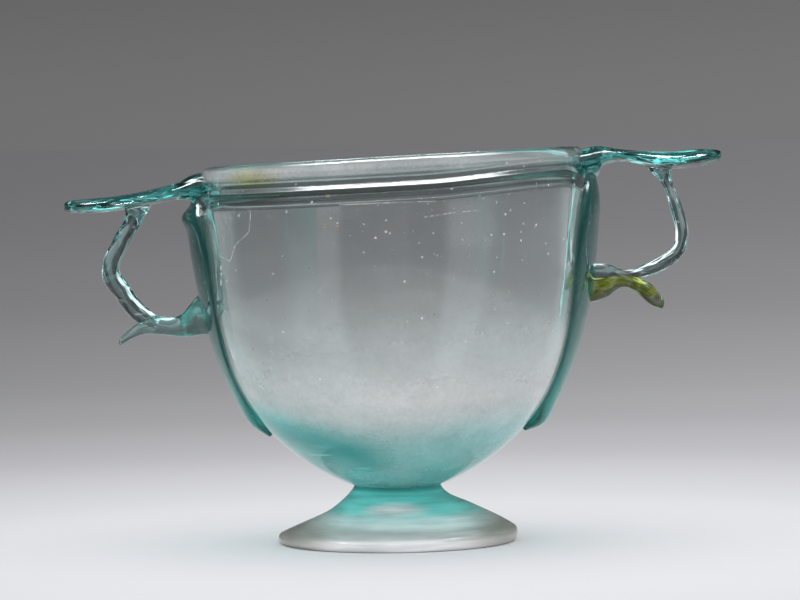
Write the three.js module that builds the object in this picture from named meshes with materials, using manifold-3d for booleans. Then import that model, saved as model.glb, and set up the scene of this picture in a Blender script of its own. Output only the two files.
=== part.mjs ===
// A blown-glass skyphos: a deep footed cup with two ring handles.
// Millimetres, +Z up. The origin is on the axis of the cup, in the plane it stands on.
// The handles lie along X. Each is four trails of glass laid on hot: a flat thumb-rest level with the
// rim, a bent rod that closes the finger ring, a spur under the ring, and a strip down the wall that
// ends in a claw.

import * as THREE from 'three';
import { mergeVertices } from 'three/addons/utils/BufferGeometryUtils.js';
import Module from 'manifold-3d';

const wasm = await Module();
wasm.setup();

// Clearance between pieces that are laid on one another
const CLEARANCE = 0.3;

// Foot: a pad tooled out into a hollow cone
const FOOT_HEIGHT = 15.4;
const FOOT_RADIUS = 32.8;
const FOOT_EDGE_ROUND = 1.8;
const FOOT_EDGE_SWEEP = THREE.MathUtils.degToRad(60);
const FOOT_REST_WIDTH = 2.4;
const FOOT_HOLLOW_DEPTH = 6.4;
const FOOT_HOLLOW_CROWN = 16;
const FOOT_HOLLOW_SPREAD = 3.2;
const FOOT_HOLLOW_RISE = 4.2;
const FOOT_FLARE_PULL = 8;
const NECK_RADIUS = 11.75;
const NECK_FLARE = 2.4;
const NECK_FLARE_DROP = 5;

// The foot is uneven: at its edge it is thicker by this share towards +X, and thinner on the other side
const FOOT_LEAN = 0.2;
const FOOT_LEAN_RADIUS = 20;

// Bowl, with heights counted from the neck
const BOWL_HEIGHT = 89.6;
const BELLY_RADIUS = 53.5;
const BELLY_HEIGHT = 76.6;
const BELLY_PULL = 50;
const BOTTOM_SPREAD = 23;
const BOTTOM_ANGLE = THREE.MathUtils.degToRad(22);
const WALL = 1.4;
const FLOOR = 5;
const FLOOR_FADE = 28;

// Rim folded inward into a wedge, with a tooled groove under the band
const BAND_RADIUS = 52.9;
const BAND_HEIGHT = 7.4;
const BAND_SWELL = 0.4;
const GROOVE_DEPTH = 0.7;
const GROOVE_LEDGE = 0.25;
const RIM_INSET = 3.2;
const RIM_DROP = 5;
const RIM_INNER = 0.6;
const FOLD_HEIGHT = 12;
const FOLD_DEEP = 4.4;
const FOLD_EASE = 3.4;

// The rim is not level: it climbs towards +X above this height over the neck
const RIM_TILT = THREE.MathUtils.degToRad(2.4);
const TILT_START = 20;

// Handles
const REST_REACH = 36.7;
const REST_WIDTH = 22;
const REST_SQUARENESS = 2.6;
const REST_BLUNTNESS = 0.1;
const RING_ASPECT = 1.05;
const SPUR_ASPECT = 0.95;
const TRAIL_EDGE = 0.35;
const TRAIL_CROWN = 0.7;
const TRAIL_ROOT = 1;

// The two handles are drawn freehand, so each has stations of its own.
// rest: out from the band, drop of the middle below the rim, thickness
// ringRoot: how far out the ring hangs from the thumb-rest, and the size of its root there
// ring: out from the band, drop below the rim, radius
// spur: out from the wall, rise from the spur's own height, radius
// trail: drop below the rim, thickness, half width
const LEFT = {
  side: -1,
  rest: [[-4, 5, 8.8], [1.5, 5.3, 7.8], [5.5, 6.2, 5.4], [14, 8, 4.7], [25, 9.6, 4.5],
    [REST_REACH, 10.1, 4.3]],
  ringRoot: [16.6, 4.3],
  ring: [[18.1, 14.3, 2.1], [21.4, 20.2, 2.2], [24.4, 28, 2.55], [21.2, 33.6, 2.45], [17.6, 38.6, 2.3]],
  ringEnd: 14.6,
  spurDrop: 40.8,
  spur: [[-2, 1.2, 5.6], [2.6, 0.8, 5.5], [5.2, -0.7, 4.4], [7.6, -2, 2.9], [10, -2.4, 2.4], [14.6, -2, 2.3],
    [18.6, -2.6, 1.8], [21.4, -4, 1.45], [24.2, -5.9, 1.2]],
  trail: [[6, 1.2, 8], [9.8, 1.5, 11], [13.4, 3.9, 14.5], [18, 2.5, 17.5], [26, 1.8, 19.5], [40, 1.15, 18],
    [54, 1.3, 13.5], [66, 2, 8.5], [71, 2.3, 5], [75.2, 0.8, 0.9]],
};
const RIGHT = {
  side: 1,
  rest: [[-4, 5.4, 8.6], [2.6, 4.3, 8.8], [4.4, 2.9, 5.6], [10, 2.9, 3.7], [22, 4.3, 5.2], [31, 3.7, 5.3],
    [REST_REACH, 3.2, 4.4]],
  ringRoot: [19.6, 3.8],
  ring: [[21.8, 10.1, 1.4], [24.3, 17, 1.7], [25.8, 24.4, 1.85], [24.4, 29.2, 1.85], [20.2, 32.3, 1.8],
    [15, 34.5, 1.6], [11.2, 35, 1], [8.2, 35, 1.3], [5, 34.4, 2.1]],
  ringEnd: -2,
  spurDrop: 39.4,
  spur: [[-2, 0, 3.4], [3.2, 0, 3.4], [6.6, 1, 3], [9.6, 2.1, 2], [11.8, 2.2, 1.75], [14.2, 1.2, 2.1],
    [16.8, -0.4, 2.8], [19, -1.9, 2.7], [20.4, -2.9, 2.1]],
  trail: [[5, 0.8, 8], [9, 1.8, 11], [15, 2.7, 16], [25, 2.4, 19.5], [40, 2.3, 18], [54, 2.2, 13.5],
    [66, 2.8, 8.5], [71, 3.3, 5], [74.6, 0.8, 0.9]],
};

// Glass
const BLUE_GREEN = 0x8fc4bf;
const DEEP_BLUE_GREEN = 0x4f9f99;
const YELLOW_GREEN = 0x9aa646;
const GLASS_ROUGHNESS = 0.08;
const GLASS_OPACITY = 0.6;

// Facets
const ROUND_SEGMENTS = 56;
const FOOT_UNDER_STEPS = 6;
const FOOT_EDGE_STEPS = 6;
const FOOT_FLARE_STEPS = 8;
const BODY_STEPS = 15;
const SHOULDER_STEPS = 4;
const BAND_STEPS = 4;
const RIM_STEPS = 6;
const RIM_INNER_STEPS = 2;
const FOLD_STEPS = 5;
const INSIDE_STEPS = 12;
const INSIDE_CROWDING = 1.6;
const ROD_SIDES = 10;
const RING_STEPS = 28;
const SPUR_STEPS = 20;
const REST_SIDES = 16;
const REST_STEPS = 16;
const TRAIL_STEPS = 24;
const TRAIL_STRIPS = 8;
const TIP_STEPS = 3;
const TIP_SWEEP = THREE.MathUtils.degToRad(77);
const WELD = 1e-4;
const SEARCH_STEPS = 40;

// Heights and radii that follow from the sizes above
const RIM_Z = FOOT_HEIGHT + BOWL_HEIGHT;
const GROOVE_Z = RIM_Z - BAND_HEIGHT;
const BAND_Z = RIM_Z - RIM_DROP;
const FOLD_Z = RIM_Z - FOLD_HEIGHT;
const GROOVE_RADIUS = BAND_RADIUS - GROOVE_DEPTH;
const TOP_RADIUS = BAND_RADIUS - RIM_INSET;
const FOLD_RADIUS = TOP_RADIUS - RIM_INNER;
const RIM_RISE = BAND_RADIUS * Math.tan(RIM_TILT);

// Moves a point of the upright cup to where the uneven blowing left it
function settle(point) {
  const ramp = THREE.MathUtils.smoothstep(point.z, FOOT_HEIGHT + TILT_START, GROOVE_Z);
  point.z += point.x * Math.tan(RIM_TILT) * ramp;
  return point;
}

// Moves a point of an even foot to where the tooling left it
function lean(point) {
  const ramp = THREE.MathUtils.smoothstep(Math.hypot(point.x, point.y), NECK_RADIUS, FOOT_LEAN_RADIUS);
  point.z *= 1 + FOOT_LEAN * (point.x / FOOT_RADIUS) * ramp;
  return point;
}

function movePoints(geometry, move) {
  const place = geometry.attributes.position;
  const point = new THREE.Vector3();
  for (let i = 0; i < place.count; i += 1) {
    move(point.fromBufferAttribute(place, i));
    place.setXYZ(i, point.x, point.y, point.z);
  }
  return geometry;
}

// Shared vertices, no collapsed faces, faces pointing out
function closeMesh(geometry) {
  geometry.deleteAttribute('normal');
  geometry.deleteAttribute('uv');
  const merged = mergeVertices(geometry, WELD);
  const corner = [new THREE.Vector3(), new THREE.Vector3(), new THREE.Vector3()];
  const faces = [];
  let volume = 0;
  for (let i = 0; i < merged.index.count; i += 3) {
    const face = [0, 1, 2].map((k) => merged.index.getX(i + k));
    if (new Set(face).size === 3) {
      face.forEach((vertex, k) => corner[k].fromBufferAttribute(merged.attributes.position, vertex));
      volume += corner[0].dot(corner[1].clone().cross(corner[2])) / 6;
      faces.push(face);
    }
  }
  const facing = volume < 0 ? faces.map(([a, b, c]) => [a, c, b]) : faces;
  merged.setIndex(facing.flat());
  return merged;
}

function toSolid(geometry) {
  const closed = closeMesh(geometry);
  const vertProperties = new Float32Array(closed.attributes.position.array);
  const triVerts = new Uint32Array(closed.index.array);
  return new wasm.Manifold(new wasm.Mesh({ numProp: 3, vertProperties, triVerts }));
}

function toGeometry(solid) {
  const mesh = solid.getMesh();
  const geometry = new THREE.BufferGeometry();
  geometry.setAttribute('position', new THREE.BufferAttribute(new Float32Array(mesh.vertProperties), 3));
  geometry.setIndex(new THREE.BufferAttribute(new Uint32Array(mesh.triVerts), 1));
  geometry.computeVertexNormals();
  return geometry;
}

function cut(geometry, neighbours) {
  const whole = toSolid(geometry);
  return toGeometry(neighbours.reduce((left, neighbour) => left.subtract(toSolid(neighbour)), whole));
}

// A turned solid about Z from an outline of radius and height
function turned(outline) {
  return closeMesh(new THREE.LatheGeometry(outline, ROUND_SEGMENTS).rotateX(Math.PI / 2));
}

// A closed skin through rings of points, with a flat cap at each end
function loft(rings) {
  const count = rings[0].length;
  const points = rings.flat();
  const index = [];
  for (let i = 0; i + 1 < rings.length; i += 1) {
    for (let k = 0; k < count; k += 1) {
      const a = i * count + k;
      const b = i * count + ((k + 1) % count);
      index.push(a, b, a + count, b, b + count, a + count);
    }
  }
  [[0, true], [rings.length - 1, false]].forEach(([ring, flip]) => {
    const middle = rings[ring].reduce((sum, p) => sum.add(p), new THREE.Vector3()).divideScalar(count);
    const centre = points.push(middle) - 1;
    for (let k = 0; k < count; k += 1) {
      const a = ring * count + k;
      const b = ring * count + ((k + 1) % count);
      index.push(...(flip ? [centre, b, a] : [centre, a, b]));
    }
  });
  const geometry = new THREE.BufferGeometry().setFromPoints(points);
  geometry.setIndex(index);
  return closeMesh(geometry);
}

// Foot: hollow under, flat where it rests, rounded edge, then the flare up to the neck
function footGeometry() {
  const restOuter = FOOT_RADIUS - FOOT_EDGE_ROUND;
  const restInner = restOuter - FOOT_REST_WIDTH;
  const sideways = new THREE.Vector2(-Math.sin(FOOT_EDGE_SWEEP), Math.cos(FOOT_EDGE_SWEEP));
  const edge = new THREE.Vector2(Math.cos(FOOT_EDGE_SWEEP), Math.sin(FOOT_EDGE_SWEEP));
  edge.multiplyScalar(FOOT_EDGE_ROUND).add(new THREE.Vector2(restOuter, FOOT_EDGE_ROUND));
  const under = new THREE.CubicBezierCurve(
    new THREE.Vector2(0, FOOT_HOLLOW_DEPTH),
    new THREE.Vector2(FOOT_HOLLOW_CROWN, FOOT_HOLLOW_DEPTH),
    new THREE.Vector2(restInner - FOOT_HOLLOW_SPREAD, FOOT_HOLLOW_RISE),
    new THREE.Vector2(restInner, 0),
  );
  const rounding = new THREE.EllipseCurve(
    restOuter, FOOT_EDGE_ROUND, FOOT_EDGE_ROUND, FOOT_EDGE_ROUND, -Math.PI / 2, FOOT_EDGE_SWEEP,
  );
  const flare = new THREE.CubicBezierCurve(
    edge,
    edge.clone().addScaledVector(sideways, FOOT_FLARE_PULL),
    new THREE.Vector2(NECK_RADIUS + NECK_FLARE, FOOT_HEIGHT - NECK_FLARE_DROP),
    new THREE.Vector2(NECK_RADIUS, FOOT_HEIGHT),
  );
  return movePoints(turned([
    ...under.getPoints(FOOT_UNDER_STEPS),
    ...rounding.getPoints(FOOT_EDGE_STEPS),
    ...flare.getPoints(FOOT_FLARE_STEPS).slice(1),
    new THREE.Vector2(0, FOOT_HEIGHT),
  ]), lean);
}

// Outside of the bowl from the neck to the rounding of the rim
const outside = new THREE.CurvePath();
outside.add(new THREE.CubicBezierCurve(
  new THREE.Vector2(NECK_RADIUS, FOOT_HEIGHT),
  new THREE.Vector2(
    NECK_RADIUS + BOTTOM_SPREAD * Math.cos(BOTTOM_ANGLE),
    FOOT_HEIGHT + BOTTOM_SPREAD * Math.sin(BOTTOM_ANGLE),
  ),
  new THREE.Vector2(BELLY_RADIUS, FOOT_HEIGHT + BELLY_HEIGHT - BELLY_PULL),
  new THREE.Vector2(BELLY_RADIUS, FOOT_HEIGHT + BELLY_HEIGHT),
));
outside.add(new THREE.QuadraticBezierCurve(
  new THREE.Vector2(BELLY_RADIUS, FOOT_HEIGHT + BELLY_HEIGHT),
  new THREE.Vector2(BELLY_RADIUS, GROOVE_Z - GROOVE_LEDGE),
  new THREE.Vector2(GROOVE_RADIUS, GROOVE_Z),
));
outside.add(new THREE.QuadraticBezierCurve(
  new THREE.Vector2(GROOVE_RADIUS, GROOVE_Z),
  new THREE.Vector2(BAND_RADIUS + BAND_SWELL, GROOVE_Z + GROOVE_LEDGE),
  new THREE.Vector2(BAND_RADIUS, BAND_Z),
));

// The same outside with the groove bridged, for the strips that lie over it
const bridge = new THREE.CurvePath();
bridge.add(outside.curves[0]);
bridge.add(new THREE.QuadraticBezierCurve(
  new THREE.Vector2(BELLY_RADIUS, FOOT_HEIGHT + BELLY_HEIGHT),
  new THREE.Vector2(BELLY_RADIUS, GROOVE_Z),
  new THREE.Vector2(BAND_RADIUS, BAND_Z),
));

// Place on such a path, with its outward direction, at a height of the upright cup
function wallAt(path, height) {
  let low = 0;
  let high = 1;
  for (let i = 0; i < SEARCH_STEPS; i += 1) {
    const middle = (low + high) / 2;
    if (path.getPoint(middle).y < height) low = middle;
    else high = middle;
  }
  const place = path.getPoint(low);
  const along = path.getTangent(low);
  return { radius: place.x, height: place.y, outRadius: along.y, outHeight: -along.x };
}

function wallThickness(height) {
  return FLOOR + (WALL - FLOOR) * THREE.MathUtils.smoothstep(height, FOOT_HEIGHT, FOOT_HEIGHT + FLOOR_FADE);
}

// Inside of the bowl at a height of its outside
function insideAt(height) {
  const wall = wallAt(outside, height);
  const place = new THREE.Vector2(wall.radius, wall.height);
  return place.addScaledVector(new THREE.Vector2(wall.outRadius, wall.outHeight), -wallThickness(height));
}

function outsidePoints() {
  const [body, shoulder, band] = outside.curves;
  return [
    ...body.getPoints(BODY_STEPS),
    ...shoulder.getPoints(SHOULDER_STEPS).slice(1),
    ...band.getPoints(BAND_STEPS).slice(1),
  ];
}

// Outer round of the rim, from the band to its top, grown by a clearance
function crest(grow) {
  const round = new THREE.EllipseCurve(
    TOP_RADIUS, BAND_Z, RIM_INSET + grow, RIM_DROP + grow, 0, Math.PI / 2,
  );
  return round.getPoints(RIM_STEPS).slice(1);
}

// Bowl: outside, round of the rim, inner face of the folded wedge, then the inside down to the floor
function bowlGeometry() {
  const inner = new THREE.EllipseCurve(
    TOP_RADIUS, RIM_Z - RIM_INNER, RIM_INNER, RIM_INNER, Math.PI / 2, Math.PI,
  );
  const foldEnd = insideAt(FOLD_Z);
  const wedge = new THREE.CubicBezierCurve(
    new THREE.Vector2(FOLD_RADIUS, RIM_Z - FOLD_DEEP),
    new THREE.Vector2(FOLD_RADIUS, RIM_Z - FOLD_DEEP - FOLD_EASE),
    new THREE.Vector2(foldEnd.x, foldEnd.y + FOLD_EASE),
    foldEnd,
  );
  const inside = [];
  for (let i = 1; i <= INSIDE_STEPS; i += 1) {
    const share = 1 - i / INSIDE_STEPS;
    inside.push(insideAt(FOOT_HEIGHT + (FOLD_Z - FOOT_HEIGHT) * share ** INSIDE_CROWDING));
  }
  return movePoints(turned([
    new THREE.Vector2(0, FOOT_HEIGHT),
    ...outsidePoints(),
    ...crest(0),
    ...inner.getPoints(RIM_INNER_STEPS).slice(1),
    ...wedge.getPoints(FOLD_STEPS),
    ...inside,
    new THREE.Vector2(0, FOOT_HEIGHT + FLOOR),
  ]), settle);
}

// The bowl filled in and grown by the clearance, to shape what is laid on its wall and rim
function wallFormer() {
  const grown = outsidePoints().map((point) => point.clone().add(new THREE.Vector2(CLEARANCE, 0)));
  return movePoints(turned([
    new THREE.Vector2(0, FOOT_HEIGHT),
    ...grown,
    ...crest(CLEARANCE),
    new THREE.Vector2(0, RIM_Z + CLEARANCE),
  ]), settle);
}

// Height of the rim at a handle
function rimAt(handle) {
  return RIM_Z + handle.side * RIM_RISE;
}

// Smooth run of three numbers through the stations of a trail
function stations(list) {
  const points = list.map((numbers) => new THREE.Vector3(...numbers));
  return new THREE.CatmullRomCurve3(points, false, 'centripetal');
}

// Numbers of a run at a value of its first number
function stationAt(curve, first) {
  let low = 0;
  let high = 1;
  for (let i = 0; i < SEARCH_STEPS; i += 1) {
    const middle = (low + high) / 2;
    if (curve.getPoint(middle).x < first) low = middle;
    else high = middle;
  }
  return curve.getPoint(low);
}

// Thumb-rest: a tongue with round edges and a round end, thick where it leaves the rim
function restGeometry(handle, grow) {
  const run = stations(handle.rest);
  const rings = [];
  for (let i = 0; i <= REST_STEPS; i += 1) {
    const share = Math.sin((i / REST_STEPS) * Math.PI / 2);
    const { x: out, y: drop, z: thickness } = run.getPoint(share);
    const endStart = REST_REACH - REST_WIDTH / 2;
    const intoEnd = Math.max(0, out - endStart) / (REST_WIDTH / 2);
    const close = Math.max(REST_BLUNTNESS, Math.sqrt(Math.max(0, 1 - intoEnd * intoEnd)));
    const halfWidth = close * REST_WIDTH / 2 + grow;
    const halfThickness = (Math.cbrt(close) * thickness) / 2 + grow;
    const ring = [];
    for (let k = 0; k < REST_SIDES; k += 1) {
      const turn = (k / REST_SIDES) * Math.PI * 2;
      const across = Math.sign(Math.cos(turn)) * Math.abs(Math.cos(turn)) ** (2 / REST_SQUARENESS);
      const up = Math.sign(Math.sin(turn)) * Math.abs(Math.sin(turn)) ** (2 / REST_SQUARENESS);
      ring.push(new THREE.Vector3(
        handle.side * (BAND_RADIUS + out),
        across * halfWidth,
        rimAt(handle) - drop + up * halfThickness,
      ));
    }
    rings.push(ring);
  }
  return loft(rings);
}

// One section of a rod that lies in the plane of its handle
function rodRing(side, middle, across, radius, aspect) {
  const ring = [];
  for (let k = 0; k < ROD_SIDES; k += 1) {
    const turn = (k / ROD_SIDES) * Math.PI * 2;
    const reach = radius * Math.cos(turn);
    ring.push(new THREE.Vector3(
      side * (middle.x + across.x * reach),
      radius * aspect * Math.sin(turn),
      middle.y + across.y * reach,
    ));
  }
  return ring;
}

// Spur: a thread from the wall out to a free round tip, with upright sections
function spurRun(handle) {
  const height = rimAt(handle) - handle.spurDrop;
  const wall = wallAt(outside, height).radius;
  return stations(handle.spur.map(([out, rise, radius]) => [wall + out, height + rise, radius]));
}

function spurGeometry(handle, grow) {
  const run = spurRun(handle);
  const upright = new THREE.Vector2(0, 1);
  const rings = [];
  for (let i = 0; i <= SPUR_STEPS; i += 1) {
    const middle = run.getPoint(i / SPUR_STEPS);
    rings.push(rodRing(handle.side, middle, upright, middle.z + grow, SPUR_ASPECT));
  }
  const end = run.getPoint(1);
  const along = run.getTangent(1);
  for (let k = 1; k <= TIP_STEPS; k += 1) {
    const turn = (k / TIP_STEPS) * TIP_SWEEP;
    const middle = end.clone().addScaledVector(along, (end.z + grow) * Math.sin(turn));
    rings.push(rodRing(handle.side, middle, upright, (end.z + grow) * Math.cos(turn), SPUR_ASPECT));
  }
  return loft(rings);
}

// Ring: from inside the thumb-rest round to the spur, or over the spur to the wall
function ringGeometry(handle) {
  const [rootOut, rootRadius] = handle.ringRoot;
  const rim = rimAt(handle);
  const rootDrop = stationAt(stations(handle.rest), rootOut).y;
  const middle = handle.ring.map(([out, drop, radius]) => [BAND_RADIUS + out, rim - drop, radius]);
  const height = rim - handle.spurDrop;
  const endOut = wallAt(outside, height).radius + handle.ringEnd;
  const last = middle[middle.length - 1];
  const end = handle.ringEnd > 0
    ? stationAt(spurRun(handle), endOut)
    : new THREE.Vector3(endOut, last[1], last[2]);
  const root = [BAND_RADIUS + rootOut, rim - rootDrop, rootRadius];
  const run = stations([root, ...middle, [end.x, end.y, last[2]]]);
  const rings = [];
  for (let i = 0; i <= RING_STEPS; i += 1) {
    const place = run.getPoint(i / RING_STEPS);
    const along = run.getTangent(i / RING_STEPS);
    const across = new THREE.Vector2(-along.y, along.x).normalize();
    rings.push(rodRing(handle.side, place, across, place.z, RING_ASPECT));
  }
  return loft(rings);
}

// Strip down the wall: crowned across, rooted in the bowl's wall, drawn to a claw at its foot
function trailGeometry(handle, grow) {
  const run = stations(handle.trail);
  const rings = [];
  for (let i = 0; i <= TRAIL_STEPS; i += 1) {
    const { x: drop, y: thickness, z: halfWidth } = run.getPoint(i / TRAIL_STEPS);
    const wall = wallAt(bridge, RIM_Z - drop);
    const base = Math.max(wall.radius, wallAt(outside, RIM_Z - drop).radius);
    const place = (across, distance) => {
      const turn = (across * (halfWidth + grow)) / base + (handle.side < 0 ? Math.PI : 0);
      const radius = base + wall.outRadius * distance;
      const height = wall.height + wall.outHeight * distance;
      return settle(new THREE.Vector3(radius * Math.cos(turn), radius * Math.sin(turn), height));
    };
    const ring = [];
    for (let k = 0; k <= TRAIL_STRIPS; k += 1) {
      const across = (2 * k) / TRAIL_STRIPS - 1;
      const crown = TRAIL_EDGE + (thickness - TRAIL_EDGE) * (1 - across * across) ** TRAIL_CROWN;
      ring.push(place(across, CLEARANCE + crown + grow));
    }
    for (let k = TRAIL_STRIPS; k >= 0; k -= 1) {
      ring.push(place((2 * k) / TRAIL_STRIPS - 1, -TRAIL_ROOT));
    }
    rings.push(ring);
  }
  return loft(rings);
}

// Blue-green glass of the cup, and the yellow-green glass of one spur
function glass(color) {
  return new THREE.MeshStandardMaterial({
    color, roughness: GLASS_ROUGHNESS, metalness: 0, transparent: true, opacity: GLASS_OPACITY,
  });
}

function addMesh(group, name, geometry, color) {
  const mesh = new THREE.Mesh(geometry, glass(color));
  mesh.name = name;
  group.add(mesh);
}

function addHandle(group, handle, name, spurColor) {
  const former = wallFormer();
  const rest = restGeometry(handle, 0);
  const trail = trailGeometry(handle, 0);
  const spur = spurGeometry(handle, 0);
  const ring = ringGeometry(handle);
  const grownRest = restGeometry(handle, CLEARANCE);
  const grownTrail = trailGeometry(handle, CLEARANCE);
  const grownSpur = spurGeometry(handle, CLEARANCE);
  addMesh(group, `${name}_thumb_rest`, cut(rest, [former]), DEEP_BLUE_GREEN);
  addMesh(group, `${name}_wall_trail`, cut(trail, [former, grownRest]), DEEP_BLUE_GREEN);
  addMesh(group, `${name}_finger_spur`, cut(spur, [former, grownTrail]), spurColor);
  addMesh(group, `${name}_ring`, cut(ring, [former, grownTrail, grownRest, grownSpur]), BLUE_GREEN);
}

const skyphos = new THREE.Group();
addMesh(skyphos, 'foot', footGeometry(), DEEP_BLUE_GREEN);
addMesh(skyphos, 'bowl', bowlGeometry(), BLUE_GREEN);
addHandle(skyphos, LEFT, 'left', BLUE_GREEN);
addHandle(skyphos, RIGHT, 'right', YELLOW_GREEN);

export default skyphos;
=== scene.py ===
"""Looks of the blown-glass skyphos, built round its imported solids.

Sizes are in millimetres until a mesh is made.
"""

import math

import bpy
import numpy as np
from mathutils import Matrix


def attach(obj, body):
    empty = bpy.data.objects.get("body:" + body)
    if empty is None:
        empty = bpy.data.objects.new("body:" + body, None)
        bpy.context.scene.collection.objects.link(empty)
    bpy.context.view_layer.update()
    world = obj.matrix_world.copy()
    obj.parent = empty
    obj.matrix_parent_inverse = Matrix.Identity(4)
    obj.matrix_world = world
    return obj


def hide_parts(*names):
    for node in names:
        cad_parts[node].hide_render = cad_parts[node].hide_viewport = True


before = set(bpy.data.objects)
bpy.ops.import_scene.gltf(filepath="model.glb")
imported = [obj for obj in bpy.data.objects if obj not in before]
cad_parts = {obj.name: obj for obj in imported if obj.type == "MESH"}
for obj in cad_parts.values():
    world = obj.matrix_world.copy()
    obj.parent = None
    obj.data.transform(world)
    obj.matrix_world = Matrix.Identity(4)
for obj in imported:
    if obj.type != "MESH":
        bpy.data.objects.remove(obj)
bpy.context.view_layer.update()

MM = 0.001

# Sizes of the cup, as in the solids
CLEARANCE = 0.3
FOOT_HEIGHT = 15.4
FOOT_RADIUS = 32.8
FOOT_EDGE_ROUND = 1.8
FOOT_EDGE_SWEEP = math.radians(60)
FOOT_REST_WIDTH = 2.4
FOOT_HOLLOW_DEPTH = 6.4
FOOT_HOLLOW_CROWN = 16
FOOT_HOLLOW_SPREAD = 3.2
FOOT_HOLLOW_RISE = 4.2
FOOT_FLARE_PULL = 8
NECK_RADIUS = 11.75
NECK_FLARE = 2.4
NECK_FLARE_DROP = 5
FOOT_LEAN = 0.2
FOOT_LEAN_RADIUS = 20
BOWL_HEIGHT = 89.6
BELLY_RADIUS = 53.5
BELLY_HEIGHT = 76.6
BELLY_PULL = 50
BOTTOM_SPREAD = 23
BOTTOM_ANGLE = math.radians(22)
WALL = 1.4
FLOOR = 5
FLOOR_FADE = 28
BAND_RADIUS = 52.9
RIM_INSET = 3.2
RIM_DROP = 5
RIM_INNER = 0.6
FOLD_HEIGHT = 12
FOLD_DEEP = 4.4
FOLD_EASE = 3.4
RIM_TILT = math.radians(2.4)
TILT_START = 20
REST_REACH = 36.7
REST_WIDTH = 22
REST_SQUARENESS = 2.6
RING_ASPECT = 1.05
SPUR_ASPECT = 0.95
TRAIL_EDGE = 0.35

# Finer relief of the rim band and of the wall trails than in the solids
BAND_HEIGHT = 6.2
BAND_FACE = 52.1
CHAMFER_RUN = 1.1
CHAMFER_RISE = 0.95
CHAMFER_ROUND = 0.6
GROOVE_ROUND = 0.2
GROOVE_CLIMB = 1.4
CREST_SQUARENESS = 2.8
TRAIL_CROWN = 0.55

# Stations of the two handles, as in the solids
# rest and ring: out from the band, drop below the rim, then thickness or radius
# ring_root: out from the band, and radius. ring_end: out from the wall at the spur's height
# spur: out from the wall, rise from the spur's own height, radius
# trail: drop below the rim, thickness, half width
LEFT = {
    "side": -1,
    "rest": [[-4, 5, 8.8], [1.5, 5.3, 7.8], [5.5, 6.2, 5.4], [14, 8, 4.7], [25, 9.6, 4.5],
             [REST_REACH, 10.1, 4.3]],
    "ring_root": [16.6, 4.3],
    "ring": [[18.1, 14.3, 2.1], [21.4, 20.2, 2.2], [24.4, 28, 2.55], [21.2, 33.6, 2.45],
             [17.6, 38.6, 2.3]],
    "ring_end": 14.6,
    "spur_drop": 40.8,
    "spur": [[-2, 1.2, 5.6], [2.6, 0.8, 5.5], [5.2, -0.7, 4.4], [7.6, -2, 2.9], [10, -2.4, 2.4],
             [14.6, -2, 2.3], [18.6, -2.6, 1.8], [21.4, -4, 1.45], [24.2, -5.9, 1.2]],
    "trail": [[6, 1.2, 8], [9.8, 1.5, 11], [13.4, 3.9, 14.5], [18, 2.5, 17.5], [26, 1.8, 19.5],
              [40, 1.15, 18], [54, 1.3, 13.5], [66, 2, 8.5], [71, 2.3, 5], [75.2, 0.8, 0.9]],
}
RIGHT = {
    "side": 1,
    "rest": [[-4, 5.4, 8.6], [2.6, 4.3, 8.8], [4.4, 2.9, 5.6], [10, 2.9, 3.7], [22, 4.3, 5.2],
             [31, 3.7, 5.3], [REST_REACH, 3.2, 4.4]],
    "ring_root": [19.6, 3.8],
    "ring": [[21.8, 10.1, 1.4], [24.3, 17, 1.7], [25.8, 24.4, 1.85], [24.4, 29.2, 1.85],
             [20.2, 32.3, 1.8], [15, 34.5, 1.6], [11.2, 35, 1], [8.2, 35, 1.3], [5, 34.4, 2.1]],
    "ring_end": -2,
    "spur_drop": 39.4,
    "spur": [[-2, 0, 3.4], [3.2, 0, 3.4], [6.6, 1, 3], [9.6, 2.1, 2], [11.8, 2.2, 1.75],
             [14.2, 1.2, 2.1], [16.8, -0.4, 2.8], [19, -1.9, 2.7], [20.4, -2.9, 2.1]],
    "trail": [[5, 0.8, 8], [9, 1.8, 11], [15, 2.7, 16], [25, 2.4, 19.5], [40, 2.3, 18],
              [54, 2.2, 13.5], [66, 2.8, 8.5], [71, 3.3, 5], [74.6, 0.8, 0.9]],
}

RIM_Z = FOOT_HEIGHT + BOWL_HEIGHT
GROOVE_Z = RIM_Z - BAND_HEIGHT
BAND_Z = RIM_Z - RIM_DROP
FOLD_Z = RIM_Z - FOLD_HEIGHT
TOP_RADIUS = BAND_RADIUS - RIM_INSET
FOLD_RADIUS = TOP_RADIUS - RIM_INNER
RIM_RISE = BAND_RADIUS * math.tan(RIM_TILT)

# Marks on the front of the wall: start and end in x and z, width and strength of each; the last, broad and
# faint, is a painted highlight low on the bowl, the others are scratches
SCRATCHES_AND_HIGHLIGHT = [
    [(-13.7, 93.0), (-0.7, 93.4), 0.7, 0.4], [(-0.7, 93.4), (11.0, 93.6), 0.5, 0.35],
    [(8.3, 89.5), (14.8, 90.4), 0.5, 0.35], [(14.8, 90.4), (22.1, 91.0), 0.5, 0.3],
    [(47.3, 82.7), (47.3, 76.3), 0.8, 0.7], [(-37.3, 91.8), (-37.9, 86.0), 0.5, 0.4],
    [(-37.9, 86.0), (-41.8, 82.5), 0.5, 0.4], [(-41.8, 82.5), (-43.3, 78.2), 0.5, 0.4],
    [(-43.3, 78.2), (-46.5, 79.5), 0.5, 0.4], [(-46.0, 76.8), (-46.0, 75.7), 0.7, 0.6],
    # Painted highlight: the last mark, broad and faint
    [(-46.0, 74.9), (-46.1, 71.7), 0.7, 0.6], [(-2.0, 38.7), (7.0, 39.0), 9.0, 0.2],
]
# Brown specks on the front of the wall: x and z
BROWN_SPECKS = [(-34.2, 99.4), (-31.5, 99.6), (-16.7, 95.3), (-17.7, 87.6), (-14.5, 87.5)]
# Yellow stain at the left of the rim: middle and half sizes
RIM_STAIN = (-38.0, -36.0, 99.5), (13.0, 16.0, 4.0)
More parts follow.
